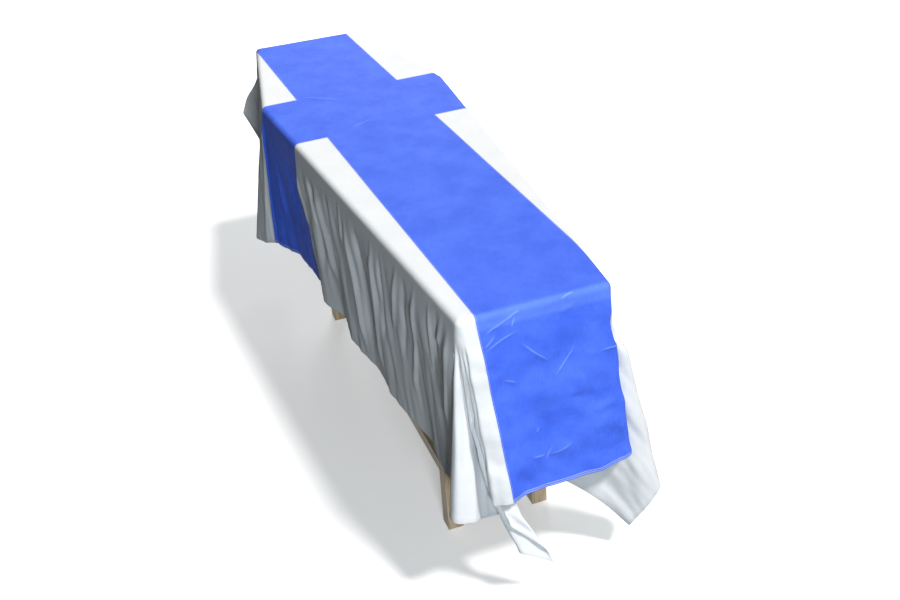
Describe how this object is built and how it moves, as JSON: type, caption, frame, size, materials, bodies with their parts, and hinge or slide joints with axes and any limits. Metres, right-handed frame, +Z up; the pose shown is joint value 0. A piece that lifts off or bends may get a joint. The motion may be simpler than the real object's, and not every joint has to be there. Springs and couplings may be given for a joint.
{
  "type": "coffin drape on a plain coffin and bier",
  "caption": "White cloth with a blue offset cross, laid over a plain six-sided coffin on a trestle bier; it bends over the lid's edge and hangs in pleats at the corners.",
  "frame": {"origin": "on the floor, under the middle of the whole object's bounding box", "axes": "+Z up, +Y along the coffin from its foot to its head, +X to the right as seen from the foot"},
  "size_m": [0.7271, 2.1488, 0.8819],
  "materials": {
    "blue_cloth": "woven polyester, dyed blue, dull sheen",
    "white_cloth": "woven polyester, white, dull sheen",
    "pale_wood": "planed pine, matt varnish"
  },
  "bodies": {
    "root": {"long_bar": "blue_cloth", "left_arm": "blue_cloth", "right_arm": "blue_cloth", "foot_field_left": "white_cloth", "foot_field_right": "white_cloth", "head_field_left": "white_cloth", "head_field_right": "white_cloth", "coffin_lid": "pale_wood", "coffin_body": "pale_wood", "bier_beam_foot": "pale_wood", "bier_beam_head": "pale_wood", "bier_leg_foot_left": "pale_wood", "bier_leg_foot_right": "pale_wood", "bier_leg_head_left": "pale_wood", "bier_leg_head_right": "pale_wood", "bier_rail_left": "pale_wood", "bier_rail_right": "pale_wood"}
  },
  "joints": []
}
